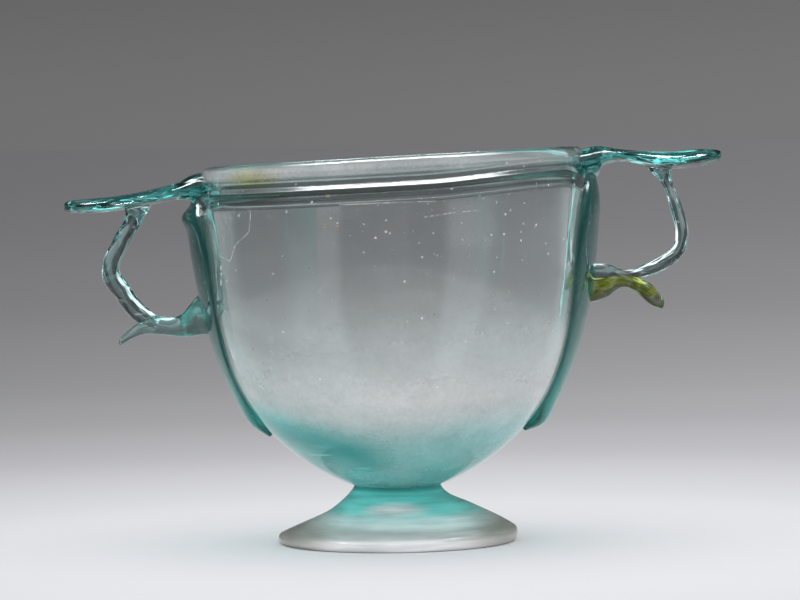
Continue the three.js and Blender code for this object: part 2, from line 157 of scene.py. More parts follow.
# Painted highlight on the front of the foot, a pale oval spot: middle and half sizes
FOOT_PAINTED_HIGHLIGHT = (-1.0, -17.5, 9.9), (12.0, 8.0, 3.0)

# How far melted pieces reach into one another, and how uneven the drawn pieces are as a share of their size
MELT = 0.1
RIPPLE = 0.14
# Uneven blowing: extra glass at the bottom of the bowl, and how far its wall wavers
HEAVY_LIFT = 1.6
WAVER = 0.05

# Fineness of the meshes, and the angles in degrees from which an edge stays sharp
TURN_SEGMENTS = 240
ROD_SIDES = 56
INSIDE_CROWDING = 1.3
TURNED_SHARP = 50
DRAWN_SHARP = 40

# Sums of sines: how many to an octave, and the strength of an octave against the one before
WAVE_SINES = 6
WAVE_FADE = 0.55

# Bowl against height: film on the inside, bloom on the outside, which is also a painted highlight low on the
# bowl, and roughness of the inside
FILM_HEIGHTS = [20, 25, 29, 33, 38, 44, 52, 60, 70, 80]
FILM_SHARES = [0.95, 0.95, 0.95, 0.75, 0.64, 0.52, 0.34, 0.14, 0.03, 0.01]
BLOOM_AND_LIGHT_HEIGHTS = [24, 31, 36, 41, 47, 54, 63]
BLOOM_AND_LIGHT_SHARES = [0.0, 0.12, 0.38, 0.42, 0.25, 0.09, 0.0]
SMEAR_HEIGHTS = [20, 34, 40, 46, 54]
SMEAR_ROUGHNESS = [0.5, 0.45, 0.4, 0.25, 0.0]
# Upper edge of the milky bottom of the bowl: x and z
SHORE_X = [-31, -18, 0, 16, 35]
SHORE_Z = [33, 31, 31, 34, 36]

# Colours that light takes on in thick glass
BLUE_GREEN = (0.25, 0.84, 0.815)
YELLOW_GREEN = (0.6, 0.74, 0.05)
# Colours of the skin of the glass and of the films on it, some of which paint light
CLEAR = (0.97, 0.975, 0.975)
HAZE_AND_PAINTED_LIGHT = (1.0, 0.955, 0.95)
STAIN = (0.85, 0.8, 0.5)
# Milky teal, partly a painted glow
MILK_AND_GLOW = (0.55, 0.93, 0.92)
TEAL = (0.2, 0.8, 0.78)
BROWN = (0.5, 0.4, 0.2)
# White of the painted highlight on the foot
PAINTED_HIGHLIGHT_WHITE = (0.97, 0.98, 0.98)
FOOT_SIDES = (0.28, 0.29, 0.24)
STRIP_TINT = (0.25, 0.85, 0.8)
CLEAR_SPUR_TINT = (0.8, 0.95, 0.93)
SPUR_TINT = (0.95, 0.97, 0.9)
SPUR_SWIRL = (0.42, 0.5, 0.05)
# Film on the foot, against the share of its height: silvery weathering with painted light in it, a
# near-white band low down that is a painted reflection of the floor and teal higher up that is a painted
# glow of light through the glass
FOOT_FILM_AND_PAINTED_LIGHT = [
    (0.0, (0.85, 0.86, 0.84)), (0.06, (0.97, 0.97, 0.96)), (0.17, (0.96, 0.96, 0.95)),
    (0.23, (0.68, 0.72, 0.7)), (0.32, (0.56, 0.65, 0.62)), (0.41, (0.75, 0.92, 0.9)),
    (0.5, (0.72, 0.96, 0.94)), (0.6, (0.26, 0.86, 0.8)), (0.92, (0.17, 0.82, 0.76)),
    (0.97, (0.06, 0.45, 0.42)),
]

# Rays with fewer diffuse bounces than this have met only glass since they left the camera
DIFFUSE_LIMIT = 0.5
# Faint cool tint of the floor and of the light
COOL_WHITE = (0.992, 0.992, 1.012)
# Soft box overhead, in reflections and through glass, where the dome is 1
SOFT_BOX = 24.0
SOFT_BOX_THROUGH = 2.0
# Least rise that a direction counts with when the soft box is placed, so that nothing is divided by 0
BOX_HORIZON = 0.05
# Floor in metres: middle of the painted pool of light, and the distance from it that counts as half way off
FLOOR_MIDDLE = (0.01, -0.03, 0)
FLOOR_HALF_WAY = 0.5
# Greys of the floor's painted pool of light, against the share of the way off
FLOOR_POOL_GREYS = [
    (0.0, 0.88), (0.16, 0.875), (0.249, 0.77), (0.371, 0.575), (0.477, 0.43), (0.570, 0.35),
    (0.724, 0.262), (0.848, 0.212), (1.0, 0.174),
]

# Camera of the photograph: focal length and width in pixels, place in metres
FOCAL_PIXELS = 3859
PHOTO_PIXELS = 800
SENSOR_WIDTH = 36
CAMERA_PITCH = math.radians(2.40)
CAMERA_ROLL = math.radians(0.9)
CAMERA_PLACE = (0.0015, -1.052, 0.110)


def smoothstep(value, low, high):
    t = np.clip((np.asarray(value, float) - low) / (high - low), 0, 1)
    return t * t * (3 - 2 * t)


def settle(points):
    """Points of the upright cup, with the lean of its rim."""
    out = np.array(points, float)
    ramp = smoothstep(out[..., 2], FOOT_HEIGHT + TILT_START, GROOVE_Z)
    out[..., 2] += out[..., 0] * math.tan(RIM_TILT) * ramp
    return out


def lean(points):
    """Points of an even foot, with the lean of its upper side."""
    out = np.array(points, float)
    ramp = smoothstep(np.hypot(out[..., 0], out[..., 1]), NECK_RADIUS, FOOT_LEAN_RADIUS)
    out[..., 2] *= 1 + FOOT_LEAN * out[..., 0] / FOOT_RADIUS * ramp
    return out


def bezier(points, count):
    t = np.linspace(0, 1, count)[:, None]
    p = np.array(points, float)
    if len(p) == 3:
        return (1 - t) ** 2 * p[0] + 2 * (1 - t) * t * p[1] + t ** 2 * p[2]
    return (1 - t) ** 3 * p[0] + 3 * (1 - t) ** 2 * t * p[1] + 3 * (1 - t) * t ** 2 * p[2] + t ** 3 * p[3]


def arc(centre, radius, start, end, count):
    a = np.linspace(start, end, count)
    return np.stack([centre[0] + radius * np.cos(a), centre[1] + radius * np.sin(a)], -1)


def straight_up(radius, low, high, count):
    """Outline points at one radius, between two heights and without them."""
    return np.stack([np.full(count, radius), np.linspace(low, high, count + 2)[1:-1]], -1)


def straight_across(height, start, end, count):
    """Outline points at one height, between two radii and without them."""
    return np.stack([np.linspace(start, end, count + 2)[1:-1], np.full(count, height)], -1)


def catmull(stations, t):
    """Centripetal Catmull-Rom run through the stations, at shares t."""
    p = np.array(stations, float)
    p = np.vstack([2 * p[0] - p[1], p, 2 * p[-1] - p[-2]])
    spans = len(stations) - 1
    place = np.clip(np.asarray(t, float), 0, 1) * spans
    i = np.minimum(place.astype(int), spans - 1)
    w = (place - i)[:, None]
    p0, p1, p2, p3 = p[i], p[i + 1], p[i + 2], p[i + 3]

    def knot(a, b):
        return np.sqrt(np.linalg.norm(b - a, axis=-1, keepdims=True))

    d0, d1, d2 = knot(p0, p1), knot(p1, p2), knot(p2, p3)
    t1 = ((p1 - p0) / d0 - (p2 - p0) / (d0 + d1) + (p2 - p1) / d1) * d1
    t2 = ((p2 - p1) / d1 - (p3 - p1) / (d1 + d2) + (p3 - p2) / d2) * d1
    return p1 + t1 * w + (3 * (p2 - p1) - 2 * t1 - t2) * w ** 2 + (2 * (p1 - p2) + t1 + t2) * w ** 3


def waves(points, seed, size, octaves=3):
    """Smooth wavy numbers around 0 over points, from sums of sines with bumps of about this size."""
    rng = np.random.default_rng(seed)
    total = np.zeros(points.shape[:-1])
    for octave in range(octaves):
        for _ in range(WAVE_SINES):
            direction = rng.normal(size=3)
            direction *= 2 ** octave * 2 * math.pi / (size * np.linalg.norm(direction))
            total += np.sin(points @ direction + rng.uniform(0, 2 * math.pi)) * WAVE_FADE ** octave
    return total / WAVE_SINES


# Outside of the bowl from the neck to the rounding of the rim
BODY = bezier([
    (NECK_RADIUS, FOOT_HEIGHT),
    (NECK_RADIUS + BOTTOM_SPREAD * math.cos(BOTTOM_ANGLE),
     FOOT_HEIGHT + BOTTOM_SPREAD * math.sin(BOTTOM_ANGLE)),
    (BELLY_RADIUS, FOOT_HEIGHT + BELLY_HEIGHT - BELLY_PULL),
    (BELLY_RADIUS, FOOT_HEIGHT + BELLY_HEIGHT),
], 110)
# The wall steps in to the band over a chamfer
GROOVE = np.array([BAND_FACE, GROOVE_Z])
CHAMFER = GROOVE + (CHAMFER_RUN, -CHAMFER_RISE)
EDGE_Z = CHAMFER[1] - (BELLY_RADIUS - CHAMFER[0]) * CHAMFER_RISE / CHAMFER_RUN
OUTSIDE = np.vstack([
    BODY,
    straight_up(BELLY_RADIUS, BODY[-1, 1], EDGE_Z - CHAMFER_ROUND, 6),
    bezier([(BELLY_RADIUS, EDGE_Z - CHAMFER_ROUND), (BELLY_RADIUS, EDGE_Z), CHAMFER], 12),
    np.linspace(CHAMFER, GROOVE + GROOVE_ROUND * (CHAMFER - GROOVE), 8)[1:-1],
    bezier([GROOVE + GROOVE_ROUND * (CHAMFER - GROOVE), GROOVE, GROOVE + (0, GROOVE_ROUND)], 8),
    straight_up(BAND_FACE, GROOVE_Z + GROOVE_ROUND, BAND_Z, 8),
    [(BAND_FACE, BAND_Z)],
])
# The same outside with the groove bridged, for the strips that lie over it
BRIDGE = np.vstack([BODY, bezier([BODY[-1], (BELLY_RADIUS, GROOVE_Z), (BAND_RADIUS, BAND_Z)], 40)[1:]])


def wall_at(height, path=OUTSIDE):
    """Radius of the outside at heights of the upright cup, and its outward direction there."""
    along = np.gradient(path, axis=0)
    along /= np.linalg.norm(along, axis=1, keepdims=True)
    radius = np.interp(height, path[:, 1], path[:, 0])
    along_r = np.interp(height, path[:, 1], along[:, 0])
    along_z = np.interp(height, path[:, 1], along[:, 1])
    return radius, along_z, -along_r


def crest(grow):
    """Outer round of the rim, from the band to its top."""
    turn = np.linspace(0, math.pi / 2, 40)[1:]
    across, up = np.cos(turn) ** (2 / CREST_SQUARENESS), np.sin(turn) ** (2 / CREST_SQUARENESS)
    radius = TOP_RADIUS + (BAND_FACE - TOP_RADIUS + grow) * across
    height = BAND_Z + (RIM_DROP + grow) * up
    return np.stack([radius, height], -1)


def wall_thickness(height):
    return FLOOR + (WALL - FLOOR) * smoothstep(height, FOOT_HEIGHT, FOOT_HEIGHT + FLOOR_FADE)


def skin_faces(steps, count):
    """Faces between rings of points, and of the caps round two middle points that follow the rings."""
    faces = []
    for i in range(steps - 1):
        for k in range(count):
            n = (k + 1) % count
            faces.append((i * count + k, i * count + n, (i + 1) * count + n, (i + 1) * count + k))
    low, high = steps * count, steps * count + 1
    last = (steps - 1) * count
    for k in range(count):
        n = (k + 1) % count
        faces.append((low, n, k))
        faces.append((high, last + k, last + n))
    return faces


def turned(profile):
    """Vertices and faces of a closed outline, turned about Z, and the outline's number of each vertex."""
    profile = np.array(profile, float)
    ring = profile[1:-1]
    a = np.arange(TURN_SEGMENTS) * 2 * math.pi / TURN_SEGMENTS
    points = np.stack([
        ring[:, None, 0] * np.cos(a),
        ring[:, None, 0] * np.sin(a),
        np.repeat(ring[:, 1:2], TURN_SEGMENTS, 1),
    ], -1).reshape(-1, 3)
    points = np.vstack([points, [[0, 0, profile[0, 1]], [0, 0, profile[-1, 1]]]])
    order = np.repeat(np.arange(1, len(profile) - 1), TURN_SEGMENTS)
    order = np.concatenate([order, [0, len(profile) - 1]])
    return points, skin_faces(len(ring), TURN_SEGMENTS), order


def loft(rings):
    """Closed skin through rings of points, with a cap at each end."""
    rings = np.array(rings, float)
    points = np.vstack([rings.reshape(-1, 3), rings[0].mean(0), rings[-1].mean(0)])
    return points, skin_faces(*rings.shape[:2])


def outward(points, faces):
    """The faces, all turned to point out."""
    corners = np.array([f[:3] for f in faces] + [(f[0], f[2], f[3]) for f in faces if len(f) == 4])
    a, b, c = points[corners[:, 0]], points[corners[:, 1]], points[corners[:, 2]]
    volume = np.einsum("ij,ij->", a, np.cross(b, c))
    return faces if volume > 0 else [tuple(reversed(f)) for f in faces]


def solid(node, points, faces):
    name = node + "_glass"
    mesh = bpy.data.meshes.new(name)
    mesh.from_pydata((np.array(points) * MM).tolist(), [], outward(np.array(points), faces))
    mesh.update()
    obj = bpy.data.objects.new(name, mesh)
    bpy.context.scene.collection.objects.link(obj)
    return obj


def carve(obj, cutters):
    """obj with the cutters' volumes taken off, as a plain mesh."""
    for cutter in cutters:
        step = obj.modifiers.new("cut", "BOOLEAN")
        step.operation = "DIFFERENCE"
        step.solver = "EXACT"
        step.object = cutter
    view = bpy.context.evaluated_depsgraph_get()
    mesh = bpy.data.meshes.new_from_object(obj.evaluated_get(view))
    obj.modifiers.clear()
    old = obj.data
    obj.data = mesh
    bpy.data.meshes.remove(old)
    return obj


def discard(*objs):
    for obj in objs:
        mesh = obj.data
        bpy.data.objects.remove(obj)
        bpy.data.meshes.remove(mesh)


def keep_values(obj, name, values):
    """Numbers kept on the points of a mesh, for its material to read."""
    layer = obj.data.attributes.new(name, "FLOAT", "POINT")
    layer.data.foreach_set("value", values.astype(np.float32))


def smooth(obj, sharp_degrees):
    mesh = obj.data
    mesh.polygons.foreach_set("use_smooth", [True] * len(mesh.polygons))
    mesh.set_sharp_from_angle(angle=math.radians(sharp_degrees))


# Node helpers

def node_of(tree, kind, **values):
    node = tree.nodes.new(kind)
    for key, value in values.items():
        setattr(node, key, value)
    return node


def math_node(tree, operation, a, b=None, c=None, clamp=False):
    node = node_of(tree, "ShaderNodeMath", operation=operation, use_clamp=clamp)
    for socket, value in zip(node.inputs, (a, b, c)):
        if value is None:
            continue
        if isinstance(value, bpy.types.NodeSocket):
            tree.links.new(value, socket)
        else:
            socket.default_value = value
    return node.outputs[0]


def ramp_node(tree, value, low, high, out_low=0.0, out_high=1.0):
    """A number that goes smoothly from out_low to out_high while the value goes from low to high."""
    node = node_of(tree, "ShaderNodeMapRange", interpolation_type="SMOOTHSTEP")
    tree.links.new(value, node.inputs["Value"])
    node.inputs["From Min"].default_value = low
    node.inputs["From Max"].default_value = high
    node.inputs["To Min"].default_value = out_low
    node.inputs["To Max"].default_value = out_high
    return node.outputs["Result"]


def place_of(tree):
    """The shaded point in the object's own frame, in metres."""
    return node_of(tree, "ShaderNodeTexCoord").outputs["Object"]


def axes_of(tree, vector):
    split = node_of(tree, "ShaderNodeSeparateXYZ")
    tree.links.new(vector, split.inputs["Vector"])
    return split.outputs


def noise_node(tree, scale, detail, stretch=(1, 1, 1)):
    """Soft noise from 0 to 1, with the scale in bumps to a metre."""
    mapping = node_of(tree, "ShaderNodeMapping")
    mapping.inputs["Scale"].default_value = stretch
    tree.links.new(place_of(tree), mapping.inputs["Vector"])
    noise = node_of(tree, "ShaderNodeTexNoise")
    noise.inputs["Scale"].default_value = scale
    noise.inputs["Detail"].default_value = detail
    tree.links.new(mapping.outputs["Vector"], noise.inputs["Vector"])
    return noise.outputs["Fac"]


def mix_colour(tree, factor, a, b):
    node = node_of(tree, "ShaderNodeMix", data_type="RGBA")
    tree.links.new(factor, node.inputs["Factor"])
    sockets = [s for s in node.inputs if s.type == "RGBA"]
    for socket, value in zip(sockets, (a, b)):
        if isinstance(value, bpy.types.NodeSocket):
            tree.links.new(value, socket)
        else:
            socket.default_value = (*value, 1)
    return [s for s in node.outputs if s.type == "RGBA"][0]


def ramp_colour(tree, value, stops, interpolation="LINEAR"):
    node = node_of(tree, "ShaderNodeValToRGB")
    node.color_ramp.interpolation = interpolation
    tree.links.new(value, node.inputs["Fac"])
    elements = node.color_ramp.elements
    while len(elements) < len(stops):
        elements.new(0.5)
    for element, (position, colour) in zip(elements, stops):
        element.position = position
        element.color = (*colour, 1)
    return node.outputs["Color"]


def kept_value(tree, name):
    return node_of(tree, "ShaderNodeAttribute", attribute_name=name).outputs["Fac"]


def scatter(tree, scale):
    """Distance to the nearest of many scattered points, and two random numbers for that point."""
    cells = node_of(tree, "ShaderNodeTexVoronoi", feature="F1")
    cells.inputs["Scale"].default_value = scale
    tree.links.new(place_of(tree), cells.inputs["Vector"])
    split = node_of(tree, "ShaderNodeSeparateColor")
    tree.links.new(cells.outputs["Color"], split.inputs["Color"])
    return cells.outputs["Distance"], split.outputs["Red"], split.outputs["Green"]


def cover(tree, shader, film):
    """Lets a film hide the clear glass over its share of the surface."""
    tree.links.new(math_node(tree, "SUBTRACT", 1.0, film, clamp=True), shader.inputs["Transmission Weight"])


def glass(name, absorb, density, wave_size, wave_height):
    """Clear glass with a wavy fire-polished skin. Returns the material, its tree and its shader node.

    The density is per metre, and the waves are in millimetres.
    """
    material = bpy.data.materials.new(name)
    material.use_nodes = True
    tree = material.node_tree
    shader = tree.nodes["Principled BSDF"]
    shader.inputs["Base Color"].default_value = (*CLEAR, 1)
    shader.inputs["Roughness"].default_value = 0.0
    shader.inputs["IOR"].default_value = 1.5
    shader.inputs["Transmission Weight"].default_value = 1.0
    body = node_of(tree, "ShaderNodeVolumeAbsorption")
    body.inputs["Color"].default_value = (*absorb, 1)
    body.inputs["Density"].default_value = density
    tree.links.new(body.outputs["Volume"], tree.nodes["Material Output"].inputs["Volume"])
    bump = node_of(tree, "ShaderNodeBump")
    bump.inputs["Strength"].default_value = 1.0
    bump.inputs["Distance"].default_value = wave_height * MM
    tree.links.new(noise_node(tree, 1 / (wave_size * MM), 3), bump.inputs["Height"])
    tree.links.new(bump.outputs["Normal"], shader.inputs["Normal"])
    return material, tree, shader


def scratch_mask(tree, place, start, end, width):
    """1 along a line from start to end, given in x and z, and 0 further off than half its width."""
    run = np.array([end[0] - start[0], 0, end[1] - start[1]]) * MM
    flat = node_of(tree, "ShaderNodeVectorMath", operation="MULTIPLY")
    tree.links.new(place, flat.inputs[0])
    flat.inputs[1].default_value = (1, 0, 1)
    offset = node_of(tree, "ShaderNodeVectorMath", operation="SUBTRACT")
    tree.links.new(flat.outputs["Vector"], offset.inputs[0])
    offset.inputs[1].default_value = (start[0] * MM, 0, start[1] * MM)
    share = node_of(tree, "ShaderNodeVectorMath", operation="DOT_PRODUCT")
    tree.links.new(offset.outputs["Vector"], share.inputs[0])
    share.inputs[1].default_value = run / (run @ run)
    nearest = node_of(tree, "ShaderNodeVectorMath", operation="SCALE")
    nearest.inputs[0].default_value = run
    clamped_share = math_node(tree, "MULTIPLY", share.outputs["Value"], 1.0, clamp=True)
    tree.links.new(clamped_share, nearest.inputs["Scale"])
    away = node_of(tree, "ShaderNodeVectorMath", operation="DISTANCE")
    tree.links.new(offset.outputs["Vector"], away.inputs[0])
    tree.links.new(nearest.outputs["Vector"], away.inputs[1])
    return ramp_node(tree, away.outputs["Value"], 0.1 * width * MM, 0.5 * width * MM, 1.0, 0.0)


def soft_spot(tree, place, middle, half_size):
    """1 at the middle of a soft oval spot, and 0 outside it."""
    scaled = node_of(tree, "ShaderNodeMapping")
    scaled.inputs["Location"].default_value = [-m / h for m, h in zip(middle, half_size)]
    scaled.inputs["Scale"].default_value = [1 / (h * MM) for h in half_size]
    tree.links.new(place, scaled.inputs["Vector"])
    away = node_of(tree, "ShaderNodeVectorMath", operation="LENGTH")
    tree.links.new(scaled.outputs["Vector"], away.inputs[0])
    return ramp_node(tree, away.outputs["Value"], 0.15, 1.0, 1.0, 0.0)


def bowl_material():
    material, tree, shader = glass("bowl_glass", BLUE_GREEN, density=90, wave_size=9, wave_height=0.012)
    place = place_of(tree)
    # Film, grainy and cloudy: weathering, and the painted light kept on the bowl's points
    cloud = noise_node(tree, 90, 5)
    grain_band = ramp_node(tree, noise_node(tree, 900, 4), 0.3, 0.7, 0.92, 1.08)
    cloud_band = ramp_node(tree, cloud, 0.3, 0.7, 0.82, 1.14)
    grainy = math_node(tree, "MULTIPLY", grain_band, cloud_band)
    film = math_node(tree, "MULTIPLY", kept_value(tree, "haze_and_painted_light"), grainy)
    # Specks in about one cell in four, and one speck in five is brown
    away, chance, brown_chance = scatter(tree, 170)
    dots = math_node(tree, "MULTIPLY", ramp_node(tree, away, 0.03, 0.06, 1, 0),
                     math_node(tree, "GREATER_THAN", chance, 0.72))
    brown = math_node(tree, "MULTIPLY", dots, math_node(tree, "GREATER_THAN", brown_chance, 0.8))
    shade = math_node(tree, "MAXIMUM", film, math_node(tree, "MULTIPLY", dots, 0.5))
    # Soft pale bits in more than half of some finer cells
    away, chance, _ = scatter(tree, 260)
    bits = math_node(tree, "MULTIPLY", ramp_node(tree, away, 0.05, 0.13, 0.55, 0),
                     math_node(tree, "GREATER_THAN", chance, 0.4))
    shade = math_node(tree, "MAXIMUM", shade, bits)
    # Marks on the front: worn scratches, a broad painted highlight and brown specks
    front = kept_value(tree, "front")
    worn = ramp_node(tree, noise_node(tree, 1100, 3), 0.35, 0.6, 0.25, 1.0)
    for start, end, width, strength in SCRATCHES_AND_HIGHLIGHT:
        mark = math_node(tree, "MULTIPLY", scratch_mask(tree, place, start, end, width), strength)
        mark = math_node(tree, "MULTIPLY", math_node(tree, "MULTIPLY", mark, worn), front)
        shade = math_node(tree, "MAXIMUM", shade, mark)
    for x, z in BROWN_SPECKS:
        mark = math_node(tree, "MULTIPLY", scratch_mask(tree, place, (x - 0.2, z), (x + 0.2, z), 1.1), front)
        shade = math_node(tree, "MAXIMUM", shade, math_node(tree, "MULTIPLY", mark, 0.5))
        brown = math_node(tree, "MAXIMUM", brown, mark)
    # Level lines in the milky bottom
    milk_and_glow = kept_value(tree, "milk_and_glow")
    lines = ramp_node(tree, noise_node(tree, 200, 2, (0.3, 0.3, 5)), 0.58, 0.72, 0.0, 0.5)
    shade = math_node(tree, "MAXIMUM", shade, math_node(tree, "MULTIPLY", lines, milk_and_glow))
    cover(tree, shader, shade)
    colour = mix_colour(tree, soft_spot(tree, place, *RIM_STAIN), HAZE_AND_PAINTED_LIGHT, STAIN)
    colour = mix_colour(tree, milk_and_glow, colour, MILK_AND_GLOW)
    colour = mix_colour(tree, kept_value(tree, "deep"), colour, TEAL)
    colour = mix_colour(tree, brown, colour, BROWN)
    tree.links.new(colour, shader.inputs["Base Color"])
    rough_band = ramp_node(tree, cloud, 0.3, 0.7, 0.85, 1.1)
    roughness = math_node(tree, "MULTIPLY", kept_value(tree, "smear"), rough_band)
    tree.links.new(roughness, shader.inputs["Roughness"])
    return material


def foot_material():
    material, tree, shader = glass("foot_glass", BLUE_GREEN, density=100, wave_size=7, wave_height=0.012)
    place = place_of(tree)
    x, _, z = axes_of(tree, place)
    height = math_node(tree, "DIVIDE", z, FOOT_HEIGHT * MM)
    silver_and_painted_light = ramp_colour(tree, height, FOOT_FILM_AND_PAINTED_LIGHT)
    # Greyer towards the sides, so that the painted reflection and the painted glow stay on the front
    sides = ramp_node(tree, math_node(tree, "ABSOLUTE", x), 12 * MM, 31 * MM)
    sides = math_node(tree, "MULTIPLY", sides, ramp_node(tree, height, 0.3, 0.8, 0.85, 0.2))
    silver_and_painted_light = mix_colour(tree, sides, silver_and_painted_light, FOOT_SIDES)
    streak = ramp_node(tree, noise_node(tree, 110, 5, (0.5, 0.5, 5)), 0.3, 0.7, 0.78, 1.1)
    # Painted highlight: a pale streaked spot on the front of the foot
    painted_highlight = math_node(tree, "MULTIPLY", soft_spot(tree, place, *FOOT_PAINTED_HIGHLIGHT), streak)
    tree.links.new(mix_colour(tree, painted_highlight, silver_and_painted_light, PAINTED_HIGHLIGHT_WHITE), shader.inputs["Base Color"])
    film = math_node(tree, "MULTIPLY", ramp_node(tree, height, 0.45, 0.75, 0.95, 0.85), streak)
    cover(tree, shader, math_node(tree, "MAXIMUM", film, math_node(tree, "MULTIPLY", painted_highlight, 0.95)))
    shader.inputs["Roughness"].default_value = 0.08
    return material


def trail_material(name, absorb, density, tint=CLEAR, cloudy=0.0, swirl=None):
    """Drawn glass with pale streaks, a share of tinted cloudiness and swirls of a second tint."""
    material, tree, shader = glass(name, absorb, density, wave_size=4, wave_height=0.02)
    shader.inputs["Base Color"].default_value = (*tint, 1)
    if swirl:
        share = ramp_node(tree, noise_node(tree, 330, 2, (0.6, 1, 1)), 0.42, 0.56)
        tree.links.new(mix_colour(tree, share, tint, swirl), shader.inputs["Base Color"])
    cover(tree, shader, ramp_node(tree, noise_node(tree, 500, 3, (0.25, 1, 1)), 0.66, 0.72, cloudy, 0.3))
    return material


# Shapes

def bowl_profile():
    """Closed outline of the even bowl, and the number of its first point on the inside wall."""
    inside_z = FOOT_HEIGHT + (FOLD_Z - FOOT_HEIGHT) * np.linspace(1, 0, 110) ** INSIDE_CROWDING
    radius, out_r, out_z = wall_at(inside_z)
    thickness = wall_thickness(inside_z)
    inside = np.stack([radius - out_r * thickness, inside_z - out_z * thickness], -1)
    # The closing point on the axis stands for those next to it
    inside = inside[inside[:, 0] > 0.4]
    fold_z = RIM_Z - FOLD_DEEP
    wedge = bezier([
        (FOLD_RADIUS, fold_z), (FOLD_RADIUS, fold_z - FOLD_EASE), inside[0] + (0, FOLD_EASE), inside[0],
    ], 40)
    profile = np.vstack([
        [(0, FOOT_HEIGHT)],
        straight_across(FOOT_HEIGHT, 0, NECK_RADIUS, 12),
        OUTSIDE,
        crest(0),
        arc((TOP_RADIUS, RIM_Z - RIM_INNER), RIM_INNER, math.pi / 2, math.pi, 12)[1:],
        straight_up(FOLD_RADIUS, RIM_Z - RIM_INNER, fold_z, 8),
        wedge,
        inside[1:],
        [(0, inside[-1, 1])],
    ])
    return profile, len(profile) - len(inside)


def blow_uneven(points, within):
    """Moves the bowl's points to where the blowing left them."""
    x, y, z = points.T
    span = np.hypot(x, y) + 1e-9
    # The bottom is thicker on one side, and the wall wavers
    heavy = smoothstep(z, 70, 30) * smoothstep(z, 19.5, 24) * np.clip(0.35 - x / span, 0, 1) ** 1.5
    lift = within * (HEAVY_LIFT * heavy + WAVER * waves(points, 3, 30))
    points[:, 0] -= lift * x / span * 0.6
    points[:, 1] -= lift * y / span * 0.6
    points[:, 2] += lift * 0.8 * smoothstep(z, 60, 25)
    # The groove climbs a little towards one handle
    climb = smoothstep(x, 8, 42) * smoothstep(x, 51, 46)
    climb = climb * smoothstep(z, 88, 95) * smoothstep(z, RIM_Z - 1, BAND_Z)
    points[:, 2] += np.where(within, 0, GROOVE_CLIMB * climb)


def weather_bowl(obj, points, within):
    """Shares of the bowl's films, kept on its points."""
    x, y, z = points.T
    # Film on the inside, heavier low in the bowl, with a curved upper edge at the back, and heavier towards
    # +X, which is painted light from that side
    edge = np.where(y > 0, 74.5 - (x + 5) ** 2 / 160, 66)
    film = np.interp(z, FILM_HEIGHTS, FILM_SHARES)
    film = film * (0.35 + 0.65 * smoothstep(edge - z, -1.5, 3)) * (1.1 + 0.75 * x / BELLY_RADIUS)
    film += 0.06 * (y > 0) * smoothstep(edge - z, -0.6, 1.2) * smoothstep(z, 45, 60)
    film += 0.05 * np.clip(waves(points, 5, 18), 0, 1)
    # Deep teal patch low on one side of the front, which the films leave clear
    deep = np.exp(-((z - 26 + 0.33 * (x + 10)) / 4) ** 2) * smoothstep(x, 2, -12) * smoothstep(y, 9, -3)
    film *= 1 - 0.85 * deep
    # Outside: bloom and the milky bottom, both partly painted light, and a painted highlight on the rim
    shore = np.interp(x, SHORE_X, SHORE_Z)
    # Milky teal weathering on the outside of the bottom, partly a painted glow standing in for light that
    # shines down through the glass
    milk_and_glow = smoothstep(z, shore + 6, shore - 7)
    # Pale band on the outside low on the bowl: weathering bloom, and a painted highlight
    bloom_and_painted_light = np.interp(z, BLOOM_AND_LIGHT_HEIGHTS, BLOOM_AND_LIGHT_SHARES)
    # Painted highlight: a pale band over the rim's crest, stronger towards -X
    painted_rim_highlight = smoothstep(z, RIM_Z - 4.8, RIM_Z - 3) * smoothstep(z, RIM_Z, RIM_Z - 1.5)
    skin = 0.01 + bloom_and_painted_light + 0.34 * milk_and_glow * (1 - 0.85 * deep) + (0.28 - 0.16 * x / BELLY_RADIUS) * painted_rim_highlight
    smear = np.interp(z, SMEAR_HEIGHTS, SMEAR_ROUGHNESS)
    keep_values(obj, "haze_and_painted_light", np.where(within, film, skin))
    keep_values(obj, "front", ~within & (y < 0))
    keep_values(obj, "deep", deep)
    keep_values(obj, "milk_and_glow", np.where(within, 0.0, milk_and_glow))
    keep_values(obj, "smear", np.where(within, smear, 0.0))


def bowl_piece():
    profile, first_inside = bowl_profile()
    points, faces, order = turned(profile)
    within = order >= first_inside
    blow_uneven(points, within)
    obj = solid("bowl", settle(points), faces)
    weather_bowl(obj, points, within)
    smooth(obj, TURNED_SHARP)
    return obj


